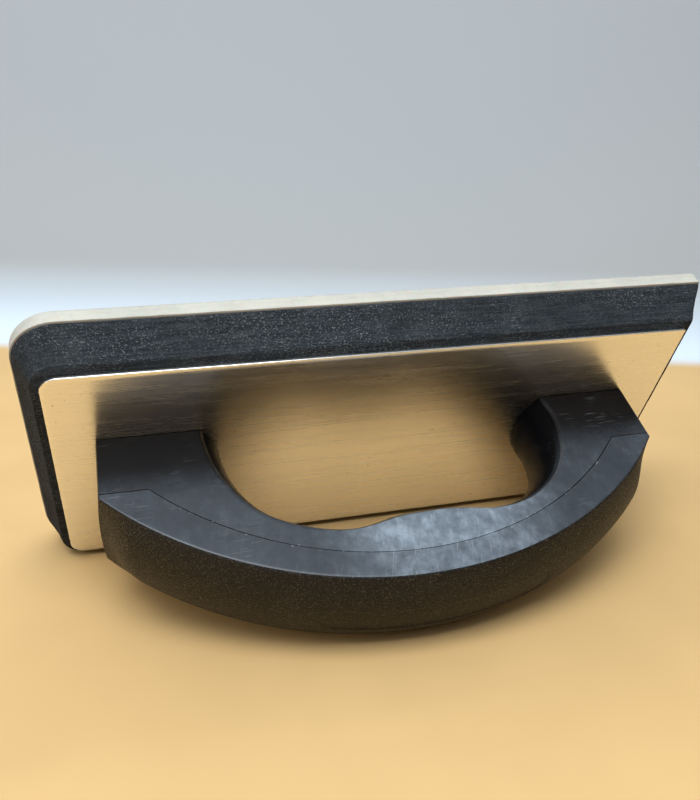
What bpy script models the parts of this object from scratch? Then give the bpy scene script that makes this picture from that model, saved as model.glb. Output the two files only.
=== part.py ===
"""Sanding block: a soft pad bonded under an aluminium plate, with a closed arch handle screwed on top.

Metres, +Z up. The working face of the sole lies on z = 0, centred on the origin. The long side runs
along X, and the end with the rounded corners faces +X. Nothing on the tool moves in use.
"""

import math

import bmesh
import bpy

# Clearances
FIT_GAP = 0.0003  # between hard pieces that touch, and around a screw
BOND_GAP = 0.0001  # each side of an adhesive film

# Plate
PLATE_LENGTH = 0.230
PLATE_WIDTH = 0.094
PLATE_THICKNESS = 0.0015
PLATE_CORNER = 0.0055  # radius of the two round corners
PLATE_SHIFT = 0.0007  # the plate sits this far towards the round end of the sole

# Pad: foam that widens downwards, and a thin rubber sole under it
FOAM_THICKNESS = 0.0132
FOAM_TOP_MARGIN = 0.0029  # foam beyond the plate, at its top
FOAM_BASE_MARGIN = 0.0096  # and at its base
SOLE_THICKNESS = 0.0056
SOLE_LIP = 0.0004  # rubber beyond the base of the foam
FILM_THICKNESS = 0.0002
FILM_SETBACK = 0.0015  # adhesive stops this far inside the edges that it joins

# Handle outside, heights measured up from the plate
HANDLE_SHIFT = 0.0014  # the handle sits this far towards the round end of the sole
HANDLE_HALF_LENGTH = 0.0997
HANDLE_WIDTH = 0.0345
END_WALL_HEIGHT = 0.0244  # flat end wall, below the arch
GRIP_HEIGHT = 0.0680  # top of the arch at its side edges
GRIP_CROWN = 0.0060  # how much the top face bulges between its side edges
END_CROWN = 0.0010  # the same on the end walls
FULL_CROWN_ANGLE = 24  # degrees round the arch, where the bulge reaches its full height
EDGE_EASE = 0.0010  # broken edges along both side faces, down the side
CROWN_EASE = 0.0006  # and in from the side

# Finger opening
FOOT_LENGTH = 0.0346
GRIP_DEPTH = 0.0230  # top of the arch down to the swell between the two finger hollows
FINGER_CROWN = 0.0070  # bulge of the finger side between its side edges
# Points along the finger side. On a foot and its shoulder: in from the foot, and down from the swell.
FRONT_FACE = (0.0010, 0.0360)
FRONT_SHOULDER = ((0.0055, 0.0210), (0.0142, 0.0084), (0.0253, 0.0014))
REAR_SHOULDER = ((0.0207, 0.0009), (0.0089, 0.0093), (0.0020, 0.0201))
REAR_FACE = (-0.0010, 0.0360)
# Under the grip: place along the handle, and height above the swell. Hollow, swell, hollow.
FINGER_HOLLOWS = ((0.0233, 0.0032), (0.0058, 0.0008), (-0.0087, 0.0), (-0.0185, 0.0007), (-0.0307, 0.0021))

# Seam between the handle body and its cover
BAND_WIDTH = 0.0090  # side of the cover at the middle of the arch
BAND_AT_END = 0.0014
LEDGE_LENGTH = 0.0156  # level stretch of the seam at each end
TONGUE_DEPTH = 0.0030  # how far the cover reaches down inside the body
TONGUE_WALL = 0.0015

# Walls and screws
WALL = 0.0030
RIB_THICKNESS = 0.0020
RIB_ANGLES = (30, 50, 70, 90, 110, 130, 150)  # degrees round the arch, seen from the plate's middle
HOLLOW_OVERRUN = 8  # degrees that the hollows run on below the feet, so that their ends are open
BOSS_DIAMETER = 0.0086
BOSS_HEIGHT = 0.0165
BOSS_RELIEF = 0.0005  # bosses stop short of the plate, so that the outer walls seat first
BOSS_FLOOR = 0.0012  # closed end of each screw hole
SCREW_SPACING = 0.0160  # across the handle
SCREW_INSET = 0.0160  # from the end wall to the screw's axis
SCREW_DIAMETER = 0.0040
SCREW_CORE = 0.0030
SCREW_LENGTH = 0.0140
SCREW_THREADS = 8
SCREW_POINT = 0.0008
HEAD_DIAMETER = 0.0080
HEAD_HEIGHT = 0.0016
HEAD_RIM = 0.0067  # diameter of the head's flat, inside its bevel
HEAD_BEVEL = 0.0006  # height of that bevel
DRIVE_SIZE = 0.0040
DRIVE_WIDTH = 0.0010
DRIVE_DEPTH = 0.0009
POCKET_DIAMETER = 0.0094  # room for a screw head in the foam
POCKET_DEPTH = 0.0020

# How finely curves are divided
CORNER_STEPS = 8
ARCH_STEPS = 44
CROWN_STEPS = 8
SEAM_STEPS = 28
ROUND_STEPS = 16

# Heights of the layers, from the working face up
SOLE_TOP = SOLE_THICKNESS
LOWER_FILM = SOLE_TOP + BOND_GAP
FOAM_BASE = LOWER_FILM + FILM_THICKNESS + BOND_GAP
FOAM_TOP = FOAM_BASE + FOAM_THICKNESS
UPPER_FILM = FOAM_TOP + BOND_GAP
PLATE_BASE = UPPER_FILM + FILM_THICKNESS + BOND_GAP
PLATE_TOP = PLATE_BASE + PLATE_THICKNESS
HANDLE_BASE = PLATE_TOP + FIT_GAP

HALF_WIDTH = HANDLE_WIDTH / 2
SCREW_X = HANDLE_HALF_LENGTH - SCREW_INSET
CLEAR = 0.02  # how far a cutting tool runs past what it cuts


def finish(name, colour, roughness, metallic=0.0):
    """A plain material of one colour."""
    material = bpy.data.materials.new(name)
    material.use_nodes = True
    shader = material.node_tree.nodes["Principled BSDF"]
    shader.inputs["Base Color"].default_value = (*colour, 1.0)
    shader.inputs["Roughness"].default_value = roughness
    shader.inputs["Metallic"].default_value = metallic
    return material


def place(name, mesh, material=None):
    """Puts a mesh into the scene. Without a material it is a cutting tool, which is left out of the part."""
    obj = bpy.data.objects.new(name, mesh)
    bpy.context.scene.collection.objects.link(obj)
    if material:
        obj.data.materials.clear()
        obj.data.materials.append(material)
    else:
        obj.hide_render = True
        obj.display_type = "WIRE"
    return obj


def loft(name, rings, material=None, smooth_angle=30):
    """A closed solid through rings of equally many points, with a flat cap on the first and the last."""
    shape = bmesh.new()
    loops = [[shape.verts.new(point) for point in ring] for ring in rings]
    for low, high in zip(loops, loops[1:]):
        for index in range(len(low)):
            after = (index + 1) % len(low)
            shape.faces.new((low[index], low[after], high[after], high[index]))
    shape.faces.new(loops[0])
    shape.faces.new(loops[-1])
    bmesh.ops.recalc_face_normals(shape, faces=shape.faces)
    mesh = bpy.data.meshes.new(name)
    shape.to_mesh(mesh)
    shape.free()
    mesh.shade_smooth()
    mesh.set_sharp_from_angle(angle=math.radians(smooth_angle))
    return place(name, mesh, material)


def level_ring(outline, z):
    return [(x, y, z) for x, y in outline]


def upright_ring(outline, y):
    return [(x, y, z) for x, z in outline]


def circle(radius, x, y, z):
    """A level circle, as a ring of points."""
    turns = [2 * math.pi * step / ROUND_STEPS for step in range(ROUND_STEPS)]
    return [(x + radius * math.cos(turn), y + radius * math.sin(turn), z) for turn in turns]


def cylinder(name, radius, x, y, low, high):
    return loft(name, [circle(radius, x, y, low), circle(radius, x, y, high)])


def block(name, low, high):
    corners = [(low[0], low[1]), (high[0], low[1]), (high[0], high[1]), (low[0], high[1])]
    return loft(name, [level_ring(corners, low[2]), level_ring(corners, high[2])])


def combine(obj, tool, operation):
    """Adds a Boolean with one tool: UNION, DIFFERENCE or INTERSECT."""
    modifier = obj.modifiers.new(tool.name, "BOOLEAN")
    modifier.operation = operation
    modifier.object = tool
    modifier.solver = "EXACT"


# ---------------------------------------------------------------- plate and pad


def pad_outline(margin, shift=0.0):
    """The plate's outline grown by a margin: square corners at -X, round ones at +X."""
    half_length = PLATE_LENGTH / 2 + margin
    half_width = PLATE_WIDTH / 2 + margin
    radius = PLATE_CORNER + margin
    points = [(shift - half_length, half_width), (shift - half_length, -half_width)]
    for side, start in ((-1, -90), (1, 0)):
        for step in range(CORNER_STEPS + 1):
            turn = math.radians(start + 90 * step / CORNER_STEPS)
            x = shift + half_length - radius + radius * math.cos(turn)
            y = side * (half_width - radius) + radius * math.sin(turn)
            points.append((x, y))
    return points


def screw_places():
    """Name and place of each screw, seen from above with the round end in front."""
    for end_name, end in (("front", 1), ("rear", -1)):
        for side_name, side in (("left", 1), ("right", -1)):
            x = HANDLE_SHIFT + end * SCREW_X
            y = side * SCREW_SPACING / 2
            yield f"{end_name}_{side_name}", x, y


def drill(obj, diameter, low, high):
    """One hole for each screw."""
    for name, x, y in screw_places():
        tool = cylinder(f"{obj.name}_drill_{name}", diameter / 2, x, y, low, high)
        combine(obj, tool, "DIFFERENCE")


def make_sole():
    rings = [level_ring(pad_outline(FOAM_BASE_MARGIN + SOLE_LIP), z) for z in (0.0, SOLE_TOP)]
    loft("rubber_sole", rings, finish("pale_rubber", (0.62, 0.60, 0.52), 0.75))


def make_foam():
    base = pad_outline(FOAM_BASE_MARGIN)
    top = pad_outline(FOAM_TOP_MARGIN, PLATE_SHIFT)
    rings = [level_ring(base, FOAM_BASE), level_ring(top, FOAM_TOP)]
    foam = loft("foam_pad", rings, finish("charcoal_foam", (0.035, 0.038, 0.048), 0.9))
    drill(foam, POCKET_DIAMETER, FOAM_TOP - POCKET_DEPTH, FOAM_TOP + CLEAR)


def make_films():
    glue = finish("clear_adhesive", (0.55, 0.50, 0.38), 0.4)
    lower = pad_outline(FOAM_BASE_MARGIN - FILM_SETBACK)
    rings = [level_ring(lower, z) for z in (LOWER_FILM, LOWER_FILM + FILM_THICKNESS)]
    loft("lower_adhesive_film", rings, glue)
    upper = pad_outline(-FILM_SETBACK, PLATE_SHIFT)
    rings = [level_ring(upper, z) for z in (UPPER_FILM, UPPER_FILM + FILM_THICKNESS)]
    film = loft("upper_adhesive_film", rings, glue)
    drill(film, POCKET_DIAMETER, UPPER_FILM - CLEAR, UPPER_FILM + CLEAR)


def make_plate():
    outline = pad_outline(0.0, PLATE_SHIFT)
    rings = [level_ring(outline, z) for z in (PLATE_BASE, PLATE_TOP)]
    plate = loft("backing_plate", rings, finish("brushed_aluminium", (0.78, 0.77, 0.74), 0.32, 1.0))
    drill(plate, SCREW_DIAMETER + 2 * FIT_GAP, PLATE_BASE - CLEAR, PLATE_TOP + CLEAR)


# ---------------------------------------------------------------- screws


def make_screws():
    """Wafer-head screws, driven up through the plate: turned outline, ridged like a thread, cross drive."""
    head_top = PLATE_BASE - FIT_GAP
    head_base = head_top - HEAD_HEIGHT
    profile = [(HEAD_RIM / 2, head_base), (HEAD_DIAMETER / 2, head_base + HEAD_BEVEL)]
    profile += [(HEAD_DIAMETER / 2, head_top), (SCREW_CORE / 2, head_top)]
    pitch = (SCREW_LENGTH - PLATE_THICKNESS - FIT_GAP) / (SCREW_THREADS + 1)
    start = head_top + FIT_GAP + PLATE_THICKNESS
    for turn in range(SCREW_THREADS):
        root = start + turn * pitch
        profile += [(SCREW_CORE / 2, root), (SCREW_DIAMETER / 2, root + pitch / 2)]
    profile += [(SCREW_CORE / 2, start + SCREW_THREADS * pitch), (SCREW_POINT / 2, head_top + SCREW_LENGTH)]
    blank = loft("screw_blank", [circle(radius, 0, 0, z) for radius, z in profile])
    for name, long_x in (("drive_x", True), ("drive_y", False)):
        half_x = DRIVE_SIZE / 2 if long_x else DRIVE_WIDTH / 2
        half_y = DRIVE_WIDTH / 2 if long_x else DRIVE_SIZE / 2
        slot = block(name, (-half_x, -half_y, head_base - CLEAR), (half_x, half_y, head_base + DRIVE_DEPTH))
        combine(blank, slot, "DIFFERENCE")
    graph = bpy.context.evaluated_depsgraph_get()
    steel = finish("zinc_plated_steel", (0.62, 0.62, 0.60), 0.3, 1.0)
    mesh = bpy.data.meshes.new_from_object(blank.evaluated_get(graph))
    for name, x, y in screw_places():
        screw = place(f"handle_screw_{name}", mesh, steel)
        screw.location = (x, y, 0.0)


# ---------------------------------------------------------------- handle outline


def arc_sag(y, half_chord, rise):
    """Height at y of an arc that rises from zero at both ends of its chord to its full rise in the middle."""
    radius = (half_chord**2 + rise**2) / (2 * rise)
    return math.sqrt(radius**2 - y**2) - (radius - rise)


def arc_through(half_length, low, high):
    """Centre height and radius of an arc that peaks at high, over low at half_length each side."""
    rise = high - low
    radius = (half_length**2 + rise**2) / (2 * rise)
    return high - radius, radius


def outer_reach(angle):
    """From the plate's middle to the handle's outer side edge: the end wall, then the arch."""
    centre, radius = arc_through(HANDLE_HALF_LENGTH, END_WALL_HEIGHT, GRIP_HEIGHT)
    sine = math.sin(angle)
    cosine = abs(math.cos(angle))
    arch = centre * sine + math.sqrt(radius**2 - (centre * cosine) ** 2)
    return min(arch, HANDLE_HALF_LENGTH / max(cosine, 1e-6))


def outer_crown(angle):
    corner = math.atan2(END_WALL_HEIGHT, HANDLE_HALF_LENGTH)
    t = (min(angle, math.pi - angle) - corner) / (math.radians(FULL_CROWN_ANGLE) - corner)
    t = min(max(t, 0.0), 1.0)
    return END_CROWN + (GRIP_CROWN - END_CROWN) * t * t * (3 - 2 * t)


def opening_knots():
    """Outline of the finger opening as (angle, distance), from the front foot over to the rear one."""
    foot = HANDLE_HALF_LENGTH - FOOT_LENGTH
    swell = GRIP_HEIGHT - GRIP_DEPTH
    points = [(foot, 0.0)]
    points += [(foot - back, swell - down) for back, down in (FRONT_FACE, *FRONT_SHOULDER)]
    points += [(x, swell + rise) for x, rise in FINGER_HOLLOWS]
    points += [(back - foot, swell - down) for back, down in (*REAR_SHOULDER, REAR_FACE)]
    points += [(-foot, 0.0)]
    return [(math.atan2(z, x), math.hypot(x, z)) for x, z in points]


def inner_reach(angle):
    """From the plate's middle to the finger side's edge, on a smooth curve through the knots."""
    knots = opening_knots()
    first, last = knots[1], knots[-2]
    knots = [(-first[0], first[1])] + knots + [(math.tau - last[0], last[1])]
    angle = min(max(angle, 0.0), math.pi)
    for index in range(1, len(knots) - 2):
        if angle <= knots[index + 1][0] + 1e-9:
            break
    before, start, end, after = knots[index - 1 : index + 3]
    span = end[0] - start[0]
    leave = (end[1] - before[1]) / (end[0] - before[0]) * span
    arrive = (after[1] - start[1]) / (after[0] - start[0]) * span
    t = (angle - start[0]) / span
    blend = t * t * (3 - 2 * t)
    ease = start[1] + (end[1] - start[1]) * blend
    return ease + leave * t * (1 - t) ** 2 - arrive * t * t * (1 - t)


def polar_point(angle, y, reach):
    return (HANDLE_SHIFT + reach * math.cos(angle), y, HANDLE_BASE + reach * math.sin(angle))


def arch_angles(first=0.0, last=math.pi):
    """Angles of the cross-sections, with one exactly on each corner between end wall and arch."""
    corner = math.atan2(END_WALL_HEIGHT, HANDLE_HALF_LENGTH)
    angles = [math.pi * step / ARCH_STEPS for step in range(ARCH_STEPS + 1)]
    apart = math.pi / ARCH_STEPS / 3
    angles = [a for a in angles if abs(a - corner) > apart and abs(math.pi - a - corner) > apart]
    angles += [corner, math.pi - corner]
    inside = [a for a in angles if first + apart < a < last - apart]
    return sorted([first, last] + inside)


def across(half):
    """Points across the handle, closer together near its sides."""
    return [half * math.sin(math.pi * (step / CROWN_STEPS - 0.5)) for step in range(CROWN_STEPS + 1)]


def handle_ring(angle):
    """Cross-section of the whole handle: crowned finger side, two flat sides, crowned outer side."""
    inner = inner_reach(angle)
    outer = outer_reach(angle)
    crown = outer_crown(angle)
    widths = across(HALF_WIDTH - CROWN_EASE)
    points = [(y, inner - arc_sag(y, HALF_WIDTH, FINGER_CROWN)) for y in widths]
    points += [(HALF_WIDTH, inner + EDGE_EASE), (HALF_WIDTH, outer - EDGE_EASE)]
    points += [(y, outer + arc_sag(y, HALF_WIDTH, crown)) for y in reversed(widths)]
    points += [(-HALF_WIDTH, outer - EDGE_EASE), (-HALF_WIDTH, inner + EDGE_EASE)]
    return [polar_point(angle, y, reach) for y, reach in points]


def body_hollow_ring(angle):
    """Inside of the body's channel, one wall in from the finger side, the sides and the end walls."""
    inner = inner_reach(angle) + WALL
    cosine = max(abs(math.cos(angle)), 1e-6)
    widths = across(HALF_WIDTH - WALL)
    points = [(y, inner - arc_sag(y, HALF_WIDTH, FINGER_CROWN)) for y in widths]
    for y in reversed(widths):
        end_wall = (HANDLE_HALF_LENGTH + arc_sag(y, HALF_WIDTH, END_CROWN) - WALL) / cosine
        points.append((y, min(end_wall, outer_reach(angle) + CLEAR)))
    return [polar_point(angle, y, reach) for y, reach in points]


def cover_hollow_ring(angle):
    """Inside of the cover, one wall in from its top face and inside of its tongues."""
    cosine = max(abs(math.cos(angle)), 1e-6)
    end_limit = (HANDLE_HALF_LENGTH - WALL - FIT_GAP - TONGUE_WALL) / cosine
    widths = across(HALF_WIDTH - WALL - FIT_GAP - TONGUE_WALL)
    points = [(y, inner_reach(angle) - FINGER_CROWN) for y in widths]
    for y in reversed(widths):
        under_top = outer_reach(angle) + arc_sag(y, HALF_WIDTH, outer_crown(angle)) - WALL
        points.append((y, min(under_top, end_limit)))
    return [polar_point(angle, y, reach) for y, reach in points]


def above_seam(name, drop, half_reach, half_width):
    """A tool that holds everything above the seam lowered by a drop: ledge, arc, ledge, then up and over."""
    ledge = END_WALL_HEIGHT - BAND_AT_END
    corner = HANDLE_HALF_LENGTH - LEDGE_LENGTH
    centre, radius = arc_through(corner, ledge, GRIP_HEIGHT - BAND_WIDTH)
    start = math.asin((ledge - drop - centre) / (radius - drop))
    outline = [(half_reach, ledge - drop)]
    for step in range(SEAM_STEPS + 1):
        turn = start + (math.pi - 2 * start) * step / SEAM_STEPS
        outline.append(((radius - drop) * math.cos(turn), centre + (radius - drop) * math.sin(turn)))
    outline += [(-half_reach, ledge - drop)]
    outline += [(-half_reach, GRIP_HEIGHT + CLEAR), (half_reach, GRIP_HEIGHT + CLEAR)]
    outline = [(HANDLE_SHIFT + x, HANDLE_BASE + z) for x, z in outline]
    return loft(name, [upright_ring(outline, y) for y in (-half_width, half_width)])


# ---------------------------------------------------------------- handle pieces


def hollow_out_body(body):
    """Cuts the channel between the cross ribs. The two end pockets open through the feet's undersides."""
    half_rib = RIB_THICKNESS / 2 / (HANDLE_HALF_LENGTH - FOOT_LENGTH)
    below = -math.radians(HOLLOW_OVERRUN)
    ribs = [math.radians(angle) for angle in RIB_ANGLES]
    starts = [below] + [rib + half_rib for rib in ribs]
    ends = [rib - half_rib for rib in ribs] + [math.pi - below]
    for index, (start, end) in enumerate(zip(starts, ends)):
        rings = [body_hollow_ring(angle) for angle in arch_angles(start, end)]
        combine(body, loft(f"channel_{index}", rings), "DIFFERENCE")


def add_bosses(body):
    """Screw bosses in both feet, each on a web that runs from the finger side to the end wall."""
    low = HANDLE_BASE + BOSS_RELIEF
    high = HANDLE_BASE + BOSS_HEIGHT
    for name, x, y in screw_places():
        finger_side = HANDLE_HALF_LENGTH - FOOT_LENGTH - arc_sag(y, HALF_WIDTH, FINGER_CROWN)
        reach_in = finger_side + WALL / 2
        reach_out = HANDLE_HALF_LENGTH + arc_sag(y, HALF_WIDTH, END_CROWN) - WALL / 2
        end = math.copysign(1.0, x)
        sides = sorted((HANDLE_SHIFT + end * reach_in, HANDLE_SHIFT + end * reach_out))
        web_low = (sides[0], y - RIB_THICKNESS / 2, low + BOSS_RELIEF)
        web_high = (sides[1], y + RIB_THICKNESS / 2, high - BOSS_RELIEF)
        combine(body, block(f"web_{name}", web_low, web_high), "UNION")
        combine(body, cylinder(f"boss_{name}", BOSS_DIAMETER / 2, x, y, low, high), "UNION")
    drill(body, SCREW_DIAMETER + 2 * FIT_GAP, HANDLE_BASE - CLEAR, high - BOSS_FLOOR)


def make_handle_body():
    rings = [handle_ring(angle) for angle in arch_angles()]
    body = loft("handle_body", rings, finish("satin_black_plastic", (0.035, 0.038, 0.045), 0.42))
    rim = above_seam("body_rim", FIT_GAP, HANDLE_HALF_LENGTH + CLEAR, HALF_WIDTH + CLEAR)
    combine(body, rim, "DIFFERENCE")
    tongue_drop = TONGUE_DEPTH + FIT_GAP
    room = above_seam("tongue_room", tongue_drop, HANDLE_HALF_LENGTH - WALL, HALF_WIDTH - WALL)
    combine(body, room, "DIFFERENCE")
    hollow_out_body(body)
    add_bosses(body)


def make_grip_cover():
    rings = [handle_ring(angle) for angle in arch_angles()]
    cover = loft("grip_cover", rings, finish("grained_black_plastic", (0.022, 0.019, 0.016), 0.62))
    keep = above_seam("cover_sides", 0.0, HANDLE_HALF_LENGTH + CLEAR, HALF_WIDTH + CLEAR)
    inset = WALL + FIT_GAP
    tongues = above_seam("cover_tongues", TONGUE_DEPTH, HANDLE_HALF_LENGTH - inset, HALF_WIDTH - inset)
    combine(keep, tongues, "UNION")
    combine(cover, keep, "INTERSECT")
    below = -math.radians(HOLLOW_OVERRUN)
    hollow = [cover_hollow_ring(angle) for angle in arch_angles(below, math.pi - below)]
    combine(cover, loft("cover_hollow", hollow), "DIFFERENCE")


for leftover in list(bpy.data.objects):
    bpy.data.objects.remove(leftover)

make_sole()
make_foam()
make_films()
make_plate()
make_screws()
make_handle_body()
make_grip_cover()
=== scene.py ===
# %% [markdown]
# # A sanding block, dressed piece by piece
#
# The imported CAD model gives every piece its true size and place. This lesson makes the finer surface
# that a CAD solid doesn't have: rounded edges, a fine seam, moulded grain, cut foam, brushed metal.
# Each step first says what the piece is on the real tool, then how it is made here, and why that way.

import math

import bmesh
import bpy
from mathutils import Matrix, Vector, noise


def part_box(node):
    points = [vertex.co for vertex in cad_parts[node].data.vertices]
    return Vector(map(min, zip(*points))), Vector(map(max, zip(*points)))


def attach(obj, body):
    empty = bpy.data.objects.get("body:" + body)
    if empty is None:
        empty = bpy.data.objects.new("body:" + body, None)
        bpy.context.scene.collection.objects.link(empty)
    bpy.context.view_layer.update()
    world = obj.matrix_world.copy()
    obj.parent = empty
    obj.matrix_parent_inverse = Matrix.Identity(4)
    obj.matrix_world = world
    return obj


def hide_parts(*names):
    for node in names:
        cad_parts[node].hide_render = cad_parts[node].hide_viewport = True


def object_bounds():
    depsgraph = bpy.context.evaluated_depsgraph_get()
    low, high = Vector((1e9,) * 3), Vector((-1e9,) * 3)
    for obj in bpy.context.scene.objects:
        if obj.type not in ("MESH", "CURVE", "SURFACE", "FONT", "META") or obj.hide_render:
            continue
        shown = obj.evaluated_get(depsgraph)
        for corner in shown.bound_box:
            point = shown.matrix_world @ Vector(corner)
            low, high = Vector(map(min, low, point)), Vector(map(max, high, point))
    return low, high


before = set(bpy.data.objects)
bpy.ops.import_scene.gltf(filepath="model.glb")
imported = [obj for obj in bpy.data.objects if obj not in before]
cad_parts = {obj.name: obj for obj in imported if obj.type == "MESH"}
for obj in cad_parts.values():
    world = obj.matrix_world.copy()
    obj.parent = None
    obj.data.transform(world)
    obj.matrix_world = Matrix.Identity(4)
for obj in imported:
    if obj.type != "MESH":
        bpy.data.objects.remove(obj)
cad_low, cad_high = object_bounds()
print("CAD nodes:", ", ".join(sorted(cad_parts)))
print("CAD box in mm:", [round(1000 * value, 1) for value in (*cad_low, *cad_high)])

# %% [markdown]
# ## Landmarks
#
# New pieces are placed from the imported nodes, never by eye. The handle's own box tells where its middle
# is, because the handle sits a little towards the rounded end of the sole.

# %% Landmarks from the frame
plate_low, plate_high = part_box("backing_plate")
sole_low, sole_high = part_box("rubber_sole")
foam_low, foam_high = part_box("foam_pad")
body_low, body_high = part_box("handle_body")
cover_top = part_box("grip_cover")[1].z

MIDDLE = (body_low.x + body_high.x) / 2
BASE = body_low.z
HALF_WIDTH = body_high.y
GRIP_CROWN = 0.0060
GRIP_HEIGHT = cover_top - BASE - GRIP_CROWN
print(f"handle {2000 * HALF_WIDTH:.1f} mm wide, grip edges {1000 * GRIP_HEIGHT:.1f} mm above the plate")

# %% [markdown]
# ## How the tool lies
#
# The tool isn't standing on its sole: it has been laid down on one side of its handle, so the table
# touches the long edge of the sole and the far side edge of the grip. In the tool's own frame the
# table is therefore a leaning plane through those two lines. Its normal points to the tool, and that
# normal is the real scene's upward direction, from which the softboxes shine.

# %% The leaning table
rest_on_sole = Vector((0.0, sole_high.y, sole_high.z))
rest_on_grip = Vector((0.0, HALF_WIDTH, BASE + GRIP_HEIGHT))
near = (rest_on_grip - rest_on_sole).normalized()
up = Vector((0.0, -near.z, near.y))
across = Vector((1.0, 0.0, 0.0))
print(f"the table leans {math.degrees(math.atan2(-near.y, near.z)):.1f} degrees from upright")

# %% [markdown]
# ## Camera
#
# A hand-held camera close to the tool, looking down on the plate and along the grip. Its three axes are
# written as plain directions, so the matrix below is easy to check: right, up and backwards.

# %% Camera
LENS = 37.21
FROM_PLATE = Vector((0.0866, -0.2350, 0.1912))
camera_data = bpy.data.cameras.new("camera")
camera_data.lens = LENS
camera = bpy.data.objects.new("camera", camera_data)
bpy.context.scene.collection.objects.link(camera)
view_ahead = Vector((-0.2511, 0.7151, -0.6523)).normalized()
view_right = Vector((-0.9638, -0.1226, 0.2366))
view_right = (view_right - view_right.dot(view_ahead) * view_ahead).normalized()
view_up = view_right.cross(view_ahead)
turned = Matrix((view_right, view_up, -view_ahead)).transposed()
plate_middle = Vector(((plate_low.x + plate_high.x) / 2, 0.0, plate_high.z))
camera.matrix_world = Matrix.Translation(plate_middle + FROM_PLATE) @ turned.to_4x4()
bpy.context.scene.camera = camera
bpy.context.scene.view_settings.view_transform = "Standard"
print("camera looks along", [round(value, 3) for value in view_ahead])

# %% [markdown]
# ## Building shader nodes
#
# Materials are node trees. A few small helpers keep them readable: one adds a node and connects it,
# others start or place a group with named sockets, and the rest are the sums that come up again and
# again. A group is an effect that several finishes share.

# %% Helpers for nodes and groups
def add_node(tree, kind, inputs=None, **settings):
    """Adds a node. An input is a value, or another node's output socket, which gets connected."""
    made = tree.nodes.new(kind)
    for name, value in settings.items():
        setattr(made, name, value)
    for name, value in (inputs or {}).items():
        if isinstance(value, bpy.types.NodeSocket):
            tree.links.new(value, made.inputs[name])
        else:
            made.inputs[name].default_value = value
    return made


def start_group(name, inputs, outputs):
    """A node group: inputs are (name, value) pairs, a tuple value makes a vector; outputs are names."""
    tree = bpy.data.node_groups.new(name, "ShaderNodeTree")
    for label, value in inputs:
        kind = "NodeSocketVector" if isinstance(value, tuple) else "NodeSocketFloat"
        tree.interface.new_socket(label, in_out="INPUT", socket_type=kind).default_value = value
    for label in outputs:
        tree.interface.new_socket(label, in_out="OUTPUT", socket_type="NodeSocketFloat")
    return tree, tree.nodes.new("NodeGroupInput").outputs, tree.nodes.new("NodeGroupOutput").inputs


def use_group(tree, group, **values):
    """Places a group in a material. Underscores in a keyword stand for the spaces of a socket's name."""
    made = tree.nodes.new("ShaderNodeGroup")
    made.node_tree = group
    for name, value in values.items():
        socket = made.inputs[name.replace("_", " ")]
        if isinstance(value, bpy.types.NodeSocket):
            tree.links.new(value, socket)
        else:
            socket.default_value = value
    return made.outputs


def start_material(name, **uniform):
    """A material with one Principled BSDF. Values that are the same all over are set on its own sockets."""
    material = bpy.data.materials.new(name)
    material.use_nodes = True
    tree = material.node_tree
    shader = tree.nodes["Principled BSDF"]
    for label, value in uniform.items():
        shader.inputs[label.replace("_", " ")].default_value = value
    place = tree.nodes.new("ShaderNodeTexCoord").outputs["Object"]
    return material, tree, shader, place


print("helpers for nodes and groups ready")

# %% [markdown]
# Masks are numbers between 0 and 1. A product limits one mask by another, a fade gives a mask soft
# rims, and a cloud is the irregular value that nearly every natural surface starts from.

# %% Helpers for masks, colours and relief
def calculate(tree, operation, first, second=0.0, clamp=False):
    """One sum, product or comparison of two numbers or sockets."""
    values = {0: first, 1: second}
    return add_node(tree, "ShaderNodeMath", values, operation=operation, use_clamp=clamp).outputs[0]


def times(tree, first, second, clamp=False):
    """The product of two numbers or sockets."""
    return calculate(tree, "MULTIPLY", first, second, clamp)


def vector_maths(tree, operation, first, second, output):
    """One sum on two vectors or sockets, with the name of the wanted output."""
    return add_node(tree, "ShaderNodeVectorMath", {0: first, 1: second}, operation=operation).outputs[output]


def fade(tree, value, low, high, to_low=0.0, to_high=1.0):
    """Maps low..high of a value smoothly to to_low..to_high."""
    limits = {"Value": value, "From Min": low, "From Max": high, "To Min": to_low, "To Max": to_high}
    return add_node(tree, "ShaderNodeMapRange", limits, interpolation_type="SMOOTHSTEP").outputs[0]


def cloud(tree, place, scale, detail, roughness=0.5):
    """An irregular value between 0 and 1, with this many clouds to a metre."""
    inputs = {"Vector": place, "Scale": scale, "Detail": detail, "Roughness": roughness}
    return add_node(tree, "ShaderNodeTexNoise", inputs).outputs["Fac"]


def blend_colours(tree, amount, first, second):
    """The first colour where the amount is 0, the second where it is 1."""
    mixer = add_node(tree, "ShaderNodeMix", {0: amount}, data_type="RGBA")
    for index, colour in ((6, first), (7, second)):
        if isinstance(colour, bpy.types.NodeSocket):
            tree.links.new(colour, mixer.inputs[index])
        else:
            mixer.inputs[index].default_value = (*colour, 1.0)
    return mixer.outputs[2]


def add_bump(tree, shader, height, strength, distance):
    """Fine relief: a height tilts the shading and leaves the mesh as it is."""
    bump = add_node(tree, "ShaderNodeBump", {"Height": height, "Strength": strength, "Distance": distance})
    tree.links.new(bump.outputs["Normal"], shader.inputs["Normal"])


print("helpers for masks, colours and relief ready")

# %% [markdown]
# ## Effects that several finishes share
#
# *Speckle* is a fine irregular value at a given grain size, for moulded grain, cut foam cells and dust.
# Stretching it along one axis gives streaks, for brushed metal and sliced foam.

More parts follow.
